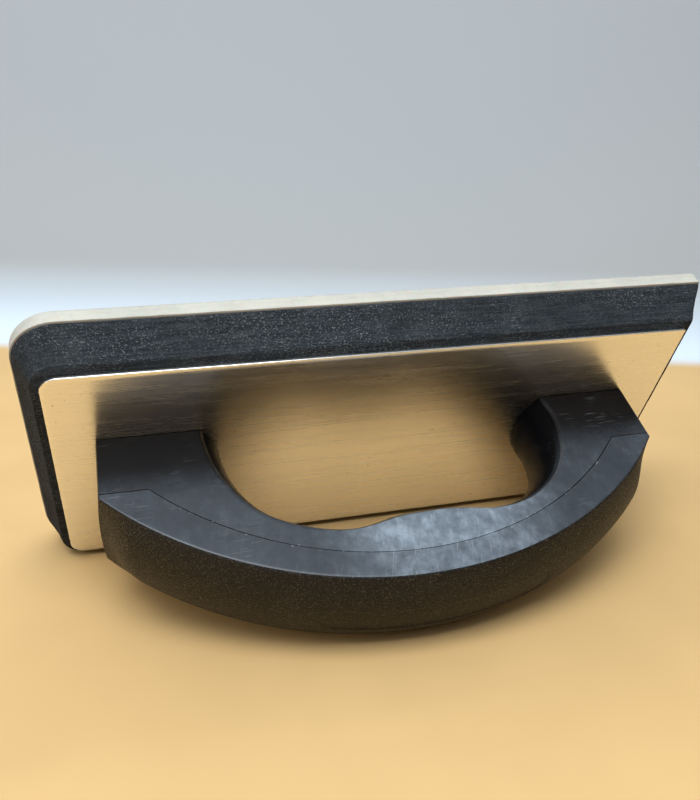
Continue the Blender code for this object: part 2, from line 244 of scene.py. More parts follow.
# %% Group: speckle
ORIGIN = (0.0, 0.0, 0.0)
NO_STRETCH = (1.0, 1.0, 1.0)
inputs = [("Place", ORIGIN), ("Stretch", NO_STRETCH), ("Grain Size", 0.001), ("Detail", 2.0)]
speckle, given, result = start_group("speckle", inputs, ["Value"])
stretched = vector_maths(speckle, "DIVIDE", given["Place"], given["Stretch"], "Vector")
per_metre = calculate(speckle, "DIVIDE", 1.0, given["Grain Size"])
speckle.links.new(cloud(speckle, stretched, per_metre, given["Detail"]), result["Value"])


def speckled(tree, place, grain, detail, stretch=NO_STRETCH):
    """The speckle group with a finish's own values."""
    return use_group(tree, speckle, Place=place, Stretch=stretch, Grain_Size=grain, Detail=detail)["Value"]


print("group:", speckle.name)

# %% [markdown]
# *Scuffs* are short thin strokes left by handling. Only the rare peaks of a strongly stretched cloud are
# kept, which leaves separate slim strokes. A second, coarse cloud gathers them in clusters, as real
# wear does, and Turn swings their direction about the tool's Y axis, so that sets can cross.

# %% Group: scuffs
STROKE_PEAKS = (0.66, 0.76)
CLUSTERS_PER_METRE = 90.0
CLUSTER_CONTRAST = 6.0
inputs = [("Place", ORIGIN), ("Turn", 0.0), ("Stretch", 20.0), ("Stroke Width", 0.0004), ("Amount", 0.5)]
scuffs, given, result = start_group("scuffs", inputs, ["Lines"])
turning = {"Vector": given["Place"], "Angle": given["Turn"]}
swung = add_node(scuffs, "ShaderNodeVectorRotate", turning, rotation_type="Y_AXIS").outputs["Vector"]
slim = add_node(scuffs, "ShaderNodeCombineXYZ", {"X": given["Stretch"], "Y": 1.0, "Z": 1.0}).outputs["Vector"]
stretched = vector_maths(scuffs, "DIVIDE", swung, slim, "Vector")
per_metre = calculate(scuffs, "DIVIDE", 1.0, given["Stroke Width"])
strokes = fade(scuffs, cloud(scuffs, stretched, per_metre, 0.0), *STROKE_PEAKS)
gather = cloud(scuffs, given["Place"], CLUSTERS_PER_METRE, 3.0)
threshold = calculate(scuffs, "SUBTRACT", 1.0, given["Amount"])
shown = times(scuffs, calculate(scuffs, "SUBTRACT", gather, threshold), CLUSTER_CONTRAST, clamp=True)
scuffs.links.new(times(scuffs, strokes, shown), result["Lines"])


def scuffed(tree, place, turn, stretch, width, amount):
    """The scuffs group with a finish's own values."""
    values = {"Turn": turn, "Stretch": stretch, "Stroke_Width": width, "Amount": amount}
    return use_group(tree, scuffs, Place=place, **values)["Lines"]


print("group:", scuffs.name)

# %% [markdown]
# *Haze* is the dull, milky bloom of handled plastic and of dust that settles in patches. It is two
# clouds of different size multiplied, so that patches have ragged rims.

# %% Group: haze
RAGGED_RATIO = 5.0
HAZE_CONTRAST = 5.0
inputs = [("Place", ORIGIN), ("Patch Size", 0.02), ("Amount", 0.5)]
haze, given, result = start_group("haze", inputs, ["Mask"])
per_metre = calculate(haze, "DIVIDE", 1.0, given["Patch Size"])
wide = cloud(haze, given["Place"], per_metre, 5.0, 0.62)
ragged = cloud(haze, given["Place"], times(haze, per_metre, RAGGED_RATIO), 4.0, 0.7)
threshold = times(haze, calculate(haze, "SUBTRACT", 1.0, given["Amount"]), 0.5)
over = calculate(haze, "SUBTRACT", times(haze, wide, ragged), threshold)
haze.links.new(times(haze, over, HAZE_CONTRAST, clamp=True), result["Mask"])


def hazed(tree, place, patch, amount):
    """The haze group with a finish's own values."""
    return use_group(tree, haze, Place=place, Patch_Size=patch, Amount=amount)["Mask"]


print("group:", haze.name)

# %% [markdown]
# ## Satin black plastic
#
# The handle's inner moulding and the smooth band of its cover are polypropylene with a satin skin. It is
# nearly black where untouched. Higher up its flat sides and round the swell it is painted lighter and milky
# blue-grey: partly the bloom where hands rub it, partly a painted reflection of the pale bluish surroundings.
# The seam's edges carry white specks, partly nicks and partly painted glints. The seam is an arc, so its
# place is a formula that the nodes repeat.

# %% The seam between the two mouldings
HALF_LENGTH = 0.0997
END_WALL_HEIGHT = 0.0244
END_CROWN = 0.0010
BAND_WIDTH = 0.0090
BAND_AT_END = 0.0014
LEDGE_LENGTH = 0.0156
SEAM_GAP = 0.0003
SEAM_GAP_IN_GRIP = 0.0002
SWELL_X = -0.0087


def arc_through(half_length, low, high):
    """Centre height and radius of an arc that peaks at high, over low at half_length each side."""
    rise = high - low
    radius = (half_length**2 + rise**2) / (2 * rise)
    return high - radius, radius


ledge_height = END_WALL_HEIGHT - BAND_AT_END
seam_centre, seam_radius = arc_through(HALF_LENGTH - LEDGE_LENGTH, ledge_height, GRIP_HEIGHT - BAND_WIDTH)
print(f"the seam's arc has a radius of {1000 * seam_radius:.1f} mm")

# %% Material: satin plastic
FRESH_BLACK = (0.0035, 0.0040, 0.0052)
WORN_BLACK_AND_SHEEN = (0.022, 0.028, 0.037)
RUBBED_GREY_AND_SHEEN = (0.135, 0.170, 0.205)
MILKY_GREY_AND_SHEEN = (0.36, 0.43, 0.50)
SCRATCH_GREY = (0.36, 0.41, 0.44)
NICK_AND_GLINT_WHITE = (0.55, 0.60, 0.64)


def seam_nicks_and_glints(tree, place, from_middle, height):
    """White specks in a narrow strip on the seam's arc, away from its two ends: partly nicks, partly painted
    glints.
    """
    above_centre = calculate(tree, "SUBTRACT", height, seam_centre)
    spoke = add_node(tree, "ShaderNodeCombineXYZ", {"X": from_middle, "Y": above_centre}).outputs["Vector"]
    reach = vector_maths(tree, "LENGTH", spoke, ORIGIN, "Value")
    off_seam = calculate(tree, "ABSOLUTE", calculate(tree, "SUBTRACT", reach, seam_radius))
    on_seam = fade(tree, off_seam, 0.0003, 0.0007, 1.0, 0.0)
    on_arc = fade(tree, calculate(tree, "ABSOLUTE", from_middle), 0.070, 0.080, 1.0, 0.0)
    nicks_and_glints = fade(tree, speckled(tree, place, 0.0016, 5.0), 0.60, 0.72)
    return times(tree, nicks_and_glints, times(tree, on_seam, on_arc))


def make_satin(name, wear_and_sheen_from, wear_and_sheen_to, bloom_and_sheen_amount, shine=0.5):
    """The satin finish. Wear and painted sheen grow between two heights above the plate, and the fourth
    argument scales the bloom and painted sheen.
    """
    material, tree, shader, place = start_material(name, Specular_IOR_Level=shine)
    parts = add_node(tree, "ShaderNodeSeparateXYZ", {0: place}).outputs
    from_middle = calculate(tree, "SUBTRACT", parts["X"], MIDDLE)
    height = calculate(tree, "SUBTRACT", parts["Z"], BASE)
    nicks_and_glints = seam_nicks_and_glints(tree, place, from_middle, height)

    off_middle = calculate(tree, "ABSOLUTE", parts["Y"])
    on_side = fade(tree, off_middle, HALF_WIDTH - 0.003, HALF_WIDTH - 0.0006)
    worn_and_sheen = times(tree, fade(tree, height, wear_and_sheen_from, wear_and_sheen_to), on_side)
    off_swell = calculate(tree, "ABSOLUTE", calculate(tree, "SUBTRACT", from_middle, SWELL_X))
    gripped_and_sheen = times(tree, worn_and_sheen, fade(tree, off_swell, 0.008, 0.048, 1.0, 0.12))
    wiped = fade(tree, speckled(tree, place, 0.0026, 5.0, (1.0, 1.0, 2.5)), 0.32, 0.66, 0.45, 1.0)
    bloom_and_sheen = times(tree, times(tree, hazed(tree, place, 0.022, 0.66), wiped), gripped_and_sheen)
    lengthwise = times(tree, scuffed(tree, place, 0.05, 14.0, 0.00045, 0.50), 0.5)
    slanted = times(tree, scuffed(tree, place, 1.25, 12.0, 0.0005, 0.58), gripped_and_sheen)
    scratched = calculate(tree, "MAXIMUM", lengthwise, slanted)

    # Painted sheen with wear: the next three colours paint the flat sides lighter and bluer higher up and
    # round the swell, partly wear and bloom, partly a painted reflection of the pale bluish surroundings.
    base = blend_colours(tree, worn_and_sheen, FRESH_BLACK, WORN_BLACK_AND_SHEEN)
    base = blend_colours(tree, times(tree, gripped_and_sheen, bloom_and_sheen_amount), base, RUBBED_GREY_AND_SHEEN)
    base = blend_colours(tree, times(tree, bloom_and_sheen, bloom_and_sheen_amount), base, MILKY_GREY_AND_SHEEN)
    base = blend_colours(tree, times(tree, scratched, 0.35), base, SCRATCH_GREY)
    # Painted glints with nicks: white specks along the seam.
    base = blend_colours(tree, times(tree, nicks_and_glints, 0.6), base, NICK_AND_GLINT_WHITE)
    tree.links.new(base, shader.inputs["Base Color"])
    skin = fade(tree, speckled(tree, place, 0.03, 5.0), 0.3, 0.7, 0.20, 0.28)
    tree.links.new(calculate(tree, "ADD", skin, times(tree, worn_and_sheen, 0.13)), shader.inputs["Roughness"])
    fine = times(tree, speckled(tree, place, 0.0007, 2.0), 0.35)
    add_bump(tree, shader, calculate(tree, "SUBTRACT", fine, scratched), 0.12, 0.0002)
    return material


satin_body = make_satin("satin_black_body", 0.012, 0.034, 0.95)
satin_band = make_satin("satin_black_band", 0.0, 0.018, 0.6)
# Painted shade: the finger side is a darker copy of the satin, with its reflections turned down.
satin_finger_side_shaded = make_satin("satin_black_finger_side_shaded", 0.012, 0.034, 0.15, shine=0.04)
print("materials:", satin_body.name, "and", satin_band.name, "and", satin_finger_side_shaded.name)

# %% [markdown]
# ## Grained black plastic
#
# The outer face of the cover has a spark-eroded grain, which gives grip and hides scratches. It is a matt
# brown-black whose grains sparkle warmly when light grazes them. The grain is real relief at half a
# millimetre, so it is a Bump from the speckle group. Its tips are painted paler and warm brown: partly wear,
# partly a painted warm glint of the table.

# %% Material: grained plastic
GRAIN_DEEP = (0.0022, 0.0017, 0.0011)
GRAIN_BLACK = (0.0050, 0.0040, 0.0027)
TIP_WEAR_AND_GLINT = (0.105, 0.088, 0.060)
DUST_ON_GRAIN = (0.20, 0.19, 0.17)
grained_plastic, tree, shader, place = start_material("grained_black_plastic", Specular_IOR_Level=0.38)
grains = speckled(tree, place, 0.00055, 2.0)
tips_worn_and_glinting = fade(tree, grains, 0.55, 0.70)
cloudy = fade(tree, speckled(tree, place, 0.018, 4.0), 0.35, 0.65)
base = blend_colours(tree, cloudy, GRAIN_DEEP, GRAIN_BLACK)
# Painted glint with wear: the grain's tips are painted paler and warm brown, partly the table's warm
# reflection.
base = blend_colours(tree, times(tree, tips_worn_and_glinting, 0.6), base, TIP_WEAR_AND_GLINT)
base = blend_colours(tree, times(tree, hazed(tree, place, 0.012, 0.5), 0.05), base, DUST_ON_GRAIN)
tree.links.new(base, shader.inputs["Base Color"])
tree.links.new(fade(tree, grains, 0.3, 0.75, 0.66, 0.38), shader.inputs["Roughness"])
add_bump(tree, shader, grains, 0.8, 0.0004)
print("material:", grained_plastic.name)

# %% [markdown]
# ## Brushed aluminium
#
# The plate is sheet aluminium brushed along its length. Brushing smears reflections across the
# strokes, which is what Anisotropic does once Tangent says which way to smear. Thin streaks in
# roughness and relief make single strokes visible, and a few specks of grit sit on the face.

# %% Material: brushed aluminium
STROKE_DULL = (0.89, 0.875, 0.84)
STROKE_BRIGHT = (0.94, 0.93, 0.895)
RUB_BRIGHT = (0.95, 0.94, 0.92)
GRIT_BROWN = (0.20, 0.16, 0.11)
brushed_metal, tree, shader, place = start_material("brushed_aluminium", Metallic=1.0, Anisotropic=0.5)
smear = add_node(tree, "ShaderNodeCombineXYZ", {"Y": 1.0}).outputs["Vector"]
tree.links.new(smear, shader.inputs["Tangent"])
strokes = speckled(tree, place, 0.00025, 3.0, (150.0, 1.0, 1.0))
broad = speckled(tree, place, 0.004, 3.0, (14.0, 1.0, 1.0))
rubbed = scuffed(tree, place, 0.0, 40.0, 0.0004, 0.54)
grit = fade(tree, speckled(tree, place, 0.0010, 0.0), 0.83, 0.86)
base = blend_colours(tree, fade(tree, strokes, 0.25, 0.75), STROKE_DULL, STROKE_BRIGHT)
base = blend_colours(tree, times(tree, rubbed, 0.4), base, RUB_BRIGHT)
base = blend_colours(tree, grit, base, GRIT_BROWN)
tree.links.new(base, shader.inputs["Base Color"])
stroke_rough = fade(tree, strokes, 0.25, 0.75, 0.215, 0.265)
broad_rough = fade(tree, broad, 0.3, 0.7, 0.0, 0.03)
tree.links.new(calculate(tree, "ADD", stroke_rough, broad_rough), shader.inputs["Roughness"])
add_bump(tree, shader, strokes, 0.028, 0.00003)
print("material:", brushed_metal.name)

# %% [markdown]
# ## Charcoal foam
#
# Closed-cell foam, sliced on its sides. The knife opens the cells, which show as pale specks on dark
# blue-grey, and drags them into faint streaks along the cut. Dust from sanding gathers on it.

# %% Material: foam
FOAM_DARK = (0.014, 0.018, 0.022)
FOAM_GREY = (0.034, 0.042, 0.050)
OPEN_CELL = (0.20, 0.225, 0.24)
SANDING_DUST = (0.30, 0.31, 0.31)
foam_skin, tree, shader, place = start_material("charcoal_foam", Roughness=0.92, Specular_IOR_Level=0.2)
cells = speckled(tree, place, 0.00042, 1.0, (1.5, 1.0, 1.0))
drag = speckled(tree, place, 0.0007, 3.0, (22.0, 1.0, 1.0))
cloudy = fade(tree, speckled(tree, place, 0.02, 4.0, (2.0, 1.0, 1.0)), 0.36, 0.62, 0.15, 1.0)
flecks = times(tree, fade(tree, cells, 0.54, 0.74), cloudy)
base = blend_colours(tree, fade(tree, drag, 0.3, 0.7), FOAM_DARK, FOAM_GREY)
base = blend_colours(tree, times(tree, flecks, 0.75), base, OPEN_CELL)
base = blend_colours(tree, times(tree, hazed(tree, place, 0.012, 0.56), 0.07), base, SANDING_DUST)
tree.links.new(base, shader.inputs["Base Color"])
add_bump(tree, shader, calculate(tree, "ADD", cells, times(tree, drag, 0.5)), 0.45, 0.0003)
print("material:", foam_skin.name)

# %% [markdown]
# ## Pale rubber
#
# The sole is cream rubber. Light enters it a little way, so thin edges look softer than paint would,
# which Subsurface gives. Its cut edge carries faint knife marks and grey dirt near the working face.

# %% Material: rubber
CREAM_DARK = (0.54, 0.54, 0.47)
CREAM = (0.62, 0.61, 0.52)
KNIFE_MARK = (0.72, 0.71, 0.64)
GREY_DIRT = (0.30, 0.31, 0.30)
rubber_skin, tree, shader, place = start_material(
    "pale_rubber", Roughness=0.62, Subsurface_Weight=0.25, Subsurface_Scale=0.002, Specular_IOR_Level=0.35
)
height = add_node(tree, "ShaderNodeSeparateXYZ", {0: place}).outputs["Z"]
marks = speckled(tree, place, 0.0006, 3.0, (12.0, 12.0, 1.0))
cloudy = fade(tree, speckled(tree, place, 0.02, 4.0), 0.3, 0.7)
low_edge = times(tree, fade(tree, height, 0.0002, 0.0016, 1.0, 0.0), 0.45)
dirt = times(tree, hazed(tree, place, 0.007, 0.55), 0.22)
base = blend_colours(tree, cloudy, CREAM_DARK, CREAM)
base = blend_colours(tree, fade(tree, marks, 0.35, 0.75, 0.0, 0.30), base, KNIFE_MARK)
base = blend_colours(tree, calculate(tree, "ADD", low_edge, dirt, clamp=True), base, GREY_DIRT)
tree.links.new(base, shader.inputs["Base Color"])
add_bump(tree, shader, marks, 0.25, 0.0002)
print("material:", rubber_skin.name)

# %% [markdown]
# ## Zinc-plated steel and adhesive film
#
# Screws and glue films stay hidden inside the tool until it is taken apart. They keep their CAD shape
# and get a proper finish: fine turning marks on the zinc, and an amber film with trapped air.

# %% Materials: screws and films
ZINC = (0.62, 0.63, 0.62)
ZINC_STAIN = (0.42, 0.44, 0.46)
zinc_steel, tree, shader, place = start_material("zinc_plated_steel", Metallic=1.0)
turned_marks = speckled(tree, place, 0.0003, 2.0, (6.0, 6.0, 1.0))
base = blend_colours(tree, times(tree, hazed(tree, place, 0.003, 0.5), 0.5), ZINC, ZINC_STAIN)
tree.links.new(base, shader.inputs["Base Color"])
tree.links.new(fade(tree, turned_marks, 0.3, 0.7, 0.24, 0.40), shader.inputs["Roughness"])
add_bump(tree, shader, turned_marks, 0.2, 0.0001)

GLUE_AMBER = (0.46, 0.40, 0.27)
GLUE_AIR = (0.62, 0.58, 0.47)
glue_film, tree, shader, place = start_material("clear_adhesive", Specular_IOR_Level=0.5)
trapped_air = hazed(tree, place, 0.005, 0.5)
tree.links.new(blend_colours(tree, trapped_air, GLUE_AMBER, GLUE_AIR), shader.inputs["Base Color"])
tree.links.new(fade(tree, trapped_air, 0.0, 1.0, 0.28, 0.55), shader.inputs["Roughness"])
add_bump(tree, shader, trapped_air, 0.2, 0.0002)
print("materials:", zinc_steel.name, "and", glue_film.name)

# %% [markdown]
# ## Building meshes
#
# Most pieces here are lofts: closed rings of points, joined ring to ring by quads. A ring can be a
# level outline, as on the pad, or an upright cross-section, as along the handle. Holes are cut with a
# Boolean, because a loft can't have them.

# %% Helpers for meshes
SCREWS = sorted(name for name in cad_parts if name.startswith("handle_screw"))
HOLE_STEPS = 32


def make_piece(name, mesh, *materials):
    """Puts a mesh in the scene as an object with its materials."""
    piece = bpy.data.objects.new(name, mesh)
    bpy.context.scene.collection.objects.link(piece)
    mesh.materials.clear()
    for material in materials:
        mesh.materials.append(material)
    return piece


def loft(name, rings, smooth_angle=35):
    """A closed mesh through rings of equally many points, with a flat cap on the first and the last."""
    count = len(rings[0])
    points = [point for ring in rings for point in ring]
    faces = []
    for row in range(len(rings) - 1):
        for index in range(count):
            after = (index + 1) % count
            low = row * count
            faces.append((low + index, low + after, low + count + after, low + count + index))
    faces.append(tuple(range(count)))
    faces.append(tuple(range(len(points) - count, len(points))))
    mesh = bpy.data.meshes.new(name)
    mesh.from_pydata(points, [], faces)
    shape = bmesh.new()
    shape.from_mesh(mesh)
    bmesh.ops.recalc_face_normals(shape, faces=shape.faces)
    shape.to_mesh(mesh)
    shape.free()
    mesh.shade_smooth()
    mesh.set_sharp_from_angle(angle=math.radians(smooth_angle))
    return mesh


def cut(piece, mesh, operation="DIFFERENCE"):
    """Cuts a piece with a closed mesh and keeps the result as the piece's own mesh."""
    tool = bpy.data.objects.new("cutting_tool", mesh)
    bpy.context.scene.collection.objects.link(tool)
    modifier = piece.modifiers.new("cut", "BOOLEAN")
    modifier.operation = operation
    modifier.object = tool
    graph = bpy.context.evaluated_depsgraph_get()
    result = bpy.data.meshes.new_from_object(piece.evaluated_get(graph))
    piece.modifiers.clear()
    piece.data = result
    bpy.data.objects.remove(tool)


def drill(piece, diameter, low, high):
    """Cuts a round hole at each screw, from one height to another."""
    turns = [math.tau * step / HOLE_STEPS for step in range(HOLE_STEPS)]
    for screw in SCREWS:
        screw_low, screw_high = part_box(screw)
        centre = (screw_low + screw_high) / 2
        ring = [centre.xy + diameter / 2 * Vector((math.cos(turn), math.sin(turn))) for turn in turns]
        cut(piece, loft("drill", [[(point.x, point.y, z) for point in ring] for z in (low, high)]))


print("mesh helpers ready, for", len(SCREWS), "screw holes")

# %% [markdown]
# ## The pad's outline
#
# Plate, foam and sole share one kind of outline: square corners at the rear, round ones at the front.
# Every outline has the same number of points in the same order, so any two can be joined by a loft.
# The waves of stamped and cut edges come from a noise, which is seeded so that each run is the same.

# %% The shared outline
PLATE_CORNER = 0.0055
SQUARE_EASE = 0.0006
LONG_STEPS = 170
SHORT_STEPS = 70
ROUND_STEPS = 14
SQUARE_STEPS = 4
WAVE_SEED = 7
noise.seed_set(WAVE_SEED)


def outline(low, high, corner):
    """Points round a box seen from above: round corners at its +X end, nearly square ones at its -X end."""
    corners = [
        (high.x, high.y, corner, 0, ROUND_STEPS, LONG_STEPS),
        (low.x, high.y, SQUARE_EASE, 90, SQUARE_STEPS, SHORT_STEPS),
        (low.x, low.y, SQUARE_EASE, 180, SQUARE_STEPS, LONG_STEPS),
        (high.x, low.y, corner, 270, ROUND_STEPS, SHORT_STEPS),
    ]
    arcs = []
    for x, y, radius, start, steps, _ in corners:
        middle = Vector((x - math.copysign(radius, x), y - math.copysign(radius, y)))
        turns = [math.radians(start + 90 * step / steps) for step in range(steps + 1)]
        arcs.append([middle + radius * Vector((math.cos(turn), math.sin(turn))) for turn in turns])
    points = []
    for index, arc in enumerate(arcs):
        following = arcs[(index + 1) % len(arcs)][0]
        straight = corners[index][5]
        points += arc
        points += [arc[-1].lerp(following, step / straight) for step in range(1, straight)]
    return points


def grown(low, high, corner, margin):
    """The outline of a box pushed outwards by a margin, or inwards by a negative one."""
    extra = Vector((margin, margin))
    return outline(low.xy - extra, high.xy + extra, max(corner + margin, SQUARE_EASE))


def uneven(points, z, amount=0.0, size=0.006):
    """Lifts an outline to a height. An amount makes it slightly wavy."""
    placed = []
    for point in points:
        shift = noise.noise_vector(Vector((point.x, point.y, z)) / size) * amount
        placed.append((point.x + shift.x, point.y + shift.y, z))
    return placed


print("points in each outline:", len(outline(sole_low.xy, sole_high.xy, PLATE_CORNER)))

# %% [markdown]
# ## Rubber sole
#
# A stamped sheet: flat working face, softened edges, and a side that is a hair hollow between them.
# Stamping leaves the edge slightly wavy, so the rings get a little noise, drawn inwards first so that
# the piece never grows past its true size. The ring inside each flat face keeps its shading level.

# %% Piece: rubber sole
SOLE_CORNER = 0.0155
SOLE_WAVE = 0.0001
SOLE_EASE = 0.0006
SOLE_HOLLOW = 0.0002
LEVEL_MARGIN = 0.0030
top = sole_high.z
sole_profile = [
    (LEVEL_MARGIN, 0.0),
    (SOLE_EASE, 0.0),
    (SOLE_EASE / 3, SOLE_EASE / 3),
    (0.0, SOLE_EASE),
    (0.0, 0.0016),
    (SOLE_HOLLOW / 2, 0.0026),
    (SOLE_HOLLOW, top - 2 * SOLE_EASE),
    (SOLE_HOLLOW / 2, top - SOLE_EASE),
    (SOLE_EASE / 3, top - SOLE_EASE / 3),
    (SOLE_EASE, top),
    (LEVEL_MARGIN, top),
]
sole_rings = []
for margin, z in sole_profile:
    ring = grown(sole_low, sole_high, SOLE_CORNER, -margin - SOLE_WAVE)
    sole_rings.append(uneven(ring, z, SOLE_WAVE))
rubber_sole = make_piece("rubber_sole_sheet", loft("rubber_sole_sheet", sole_rings), rubber_skin)
print("rubber sole:", len(rubber_sole.data.polygons), "faces")

# %% [markdown]
# ## Foam pad
#
# Foam cut on a slant, wider at the sole than at the plate. Its sides bow in by a fraction, because the
# plate and the sole hold its two edges. The four dimples under the plate leave room for screw heads.

# %% Piece: foam pad
FOAM_BASE_CORNER = 0.0151
FOAM_TOP_MARGIN = 0.0029
FOAM_ROWS = 16
FOAM_BOW = 0.0004
FOAM_WAVE = 0.00012
FOAM_WAVE_SIZE = 0.004
FOAM_EDGE = 0.0002
POCKET_DIAMETER = 0.0094
POCKET_DEPTH = 0.0020
margin = Vector((FOAM_TOP_MARGIN, FOAM_TOP_MARGIN))
foam_top_low = plate_low.xy - margin
foam_top_high = plate_high.xy + margin
foam_rings = []
for row in range(FOAM_ROWS + 1):
    share = row / FOAM_ROWS
    z = foam_low.z + (foam_high.z - foam_low.z) * share
    corner = FOAM_BASE_CORNER + (PLATE_CORNER + FOAM_TOP_MARGIN - FOAM_BASE_CORNER) * share
    low = foam_low.xy.lerp(foam_top_low, share)
    high = foam_high.xy.lerp(foam_top_high, share)
    edge = FOAM_EDGE if row in (0, FOAM_ROWS) else 0.0
    bow = FOAM_BOW * math.sin(math.pi * share)
    ring = grown(low, high, corner, -bow - edge - FOAM_WAVE)
    foam_rings.append(uneven(ring, z, FOAM_WAVE, FOAM_WAVE_SIZE))
foam_block = make_piece("foam_block", loft("foam_block", foam_rings, 60), foam_skin)
drill(foam_block, POCKET_DIAMETER, foam_high.z - POCKET_DEPTH, plate_high.z)
print("foam block:", len(foam_block.data.polygons), "faces")

# %% [markdown]
# ## Backing plate
#
# Sheared aluminium sheet with its sharp edges broken. Those narrow bevels matter: they are what draws
# the bright line round a metal plate, so the loft has a ring on each side of each bevel.

# %% Piece: backing plate
EDGE_BREAK = 0.00022
PLATE_LEVEL_MARGIN = 0.0020
SCREW_HOLE = 0.0046
OVERRUN = 0.001
plate_profile = [
    (PLATE_LEVEL_MARGIN, plate_low.z),
    (EDGE_BREAK, plate_low.z),
    (0.0, plate_low.z + EDGE_BREAK),
    (0.0, plate_high.z - EDGE_BREAK),
    (EDGE_BREAK / 3, plate_high.z - EDGE_BREAK / 3),
    (EDGE_BREAK, plate_high.z),
    (PLATE_LEVEL_MARGIN, plate_high.z),
]
plate_rings = []
for margin, z in plate_profile:
    plate_rings.append(uneven(grown(plate_low, plate_high, PLATE_CORNER, -margin), z))
plate_sheet = make_piece("plate_sheet", loft("plate_sheet", plate_rings, 50), brushed_metal)
drill(plate_sheet, SCREW_HOLE, plate_low.z - OVERRUN, plate_high.z + OVERRUN)
plate_sheet.data.set_sharp_from_angle(angle=math.radians(50))
print("plate sheet:", len(plate_sheet.data.polygons), "faces")

# %% [markdown]
# ## Handle: its outline from the side
#
# The outside is two upright end walls and a round arch between them. The finger side is a smooth curve
# through a foot, a shoulder, two hollows for the fingers and a swell between them, which sits a little
# towards the rear. Both are written as a distance from the handle's middle at each angle, so that a
# cross-section can be made at any angle.

# %% The handle's side view
FOOT_LENGTH = 0.0346
GRIP_DEPTH = 0.0230
FINGER_CROWN = 0.0070
FRONT_FACE = (0.0010, 0.0360)
FRONT_SHOULDER = ((0.0055, 0.0210), (0.0142, 0.0084), (0.0253, 0.0014))
REAR_SHOULDER = ((0.0207, 0.0009), (0.0089, 0.0093), (0.0020, 0.0201))
REAR_FACE = (-0.0010, 0.0360)
FINGER_HOLLOWS = ((0.0233, 0.0032), (0.0058, 0.0008), (SWELL_X, 0.0), (-0.0185, 0.0007), (-0.0307, 0.0021))


def arc_sag(y, half_chord, rise):
    """Height at y of an arc that is zero at both ends of its chord and has its full rise in the middle."""
    radius = (half_chord**2 + rise**2) / (2 * rise)
    return math.sqrt(radius**2 - y**2) - (radius - rise)


def outer_reach(angle):
    """From the handle's middle to its outer side edge: the end wall, then the arch."""
    centre, radius = arc_through(HALF_LENGTH, END_WALL_HEIGHT, GRIP_HEIGHT)
    cosine = abs(math.cos(angle))
    arch = centre * math.sin(angle) + math.sqrt(radius**2 - (centre * cosine) ** 2)
    return min(arch, HALF_LENGTH / max(cosine, 1e-6))


def opening_knots():
    """Outline of the finger opening as (angle, distance), from the front foot over to the rear one."""
    foot = HALF_LENGTH - FOOT_LENGTH
    swell = GRIP_HEIGHT - GRIP_DEPTH
    points = [(foot, 0.0)]
    points += [(foot - back, swell - down) for back, down in (FRONT_FACE, *FRONT_SHOULDER)]
    points += [(x, swell + rise) for x, rise in FINGER_HOLLOWS]
    points += [(back - foot, swell - down) for back, down in (*REAR_SHOULDER, REAR_FACE)]
    points += [(-foot, 0.0)]
    return [(math.atan2(z, x), math.hypot(x, z)) for x, z in points]


def inner_reach(angle):
    """From the handle's middle to the finger side's edge, on a smooth curve through the knots."""
    knots = opening_knots()
    first, last = knots[1], knots[-2]
    knots = [(-first[0], first[1])] + knots + [(math.tau - last[0], last[1])]
    angle = min(max(angle, 0.0), math.pi)
    index = 1
    while index < len(knots) - 3 and angle > knots[index + 1][0] + 1e-9:
        index += 1
    before, start, end, after = knots[index - 1 : index + 3]
    span = end[0] - start[0]
    leave = (end[1] - before[1]) / (end[0] - before[0]) * span
    arrive = (after[1] - start[1]) / (after[0] - start[0]) * span
    t = (angle - start[0]) / span
    ease = start[1] + (end[1] - start[1]) * t * t * (3 - 2 * t)
    return ease + leave * t * (1 - t) ** 2 - arrive * t * t * (1 - t)


opening_length = inner_reach(0.0) + inner_reach(math.pi)
opening_height = inner_reach(math.pi / 2)
print(f"finger opening {1000 * opening_length:.0f} mm long and {1000 * opening_height:.0f} mm high")

# %% [markdown]
# ## Handle: its cross-sections
#
# A section has a crowned outer face, a crowned finger side, and two flat sides. Where a face meets a
# side, a short curve that is tangent to both rounds the edge, so that the edge catches a thin line of
# light. The top carries a shallow sunk oblong, a place for a label, left blank.

# %% Cross-sections
ARCH_STEPS = 320
OUTER_STEPS = 22
INNER_STEPS = 10
EASE_STEPS = 5
FULL_CROWN_ANGLE = math.radians(24)
OUTER_EASE = 0.0007
INNER_EASE = 0.0008
SIDE_SUPPORT = 0.0005
PANEL_MIDDLE = -0.0050
PANEL_HALF_LENGTH = 0.0405
PANEL_HALF_WIDTH = 0.0054
PANEL_DEPTH = 0.0005
PANEL_EDGE = 0.0004
PANEL_ROWS = (-1.1, -0.5, 0.0, 0.5, 1.1)


def between(low, high, value):
    """0 below low, 1 above high, and a smooth step between them."""
    t = min(max((value - low) / (high - low), 0.0), 1.0)
    return t * t * (3 - 2 * t)


def outer_crown(angle):
    """Bulge of the outer face: nearly none on the end walls, full height along the grip."""
    low = min(angle, math.pi - angle)
    corner = math.atan2(END_WALL_HEIGHT, HALF_LENGTH)
    return END_CROWN + (GRIP_CROWN - END_CROWN) * between(corner, FULL_CROWN_ANGLE, low)


def panel_drop(x, y):
    """Depth of the sunk oblong at a place on the top of the grip."""
    beyond = max(abs(x - PANEL_MIDDLE) - (PANEL_HALF_LENGTH - PANEL_HALF_WIDTH), 0.0)
    past_edge = math.hypot(beyond, y) - PANEL_HALF_WIDTH
    return PANEL_DEPTH * (1 - between(-PANEL_EDGE, PANEL_EDGE, past_edge))


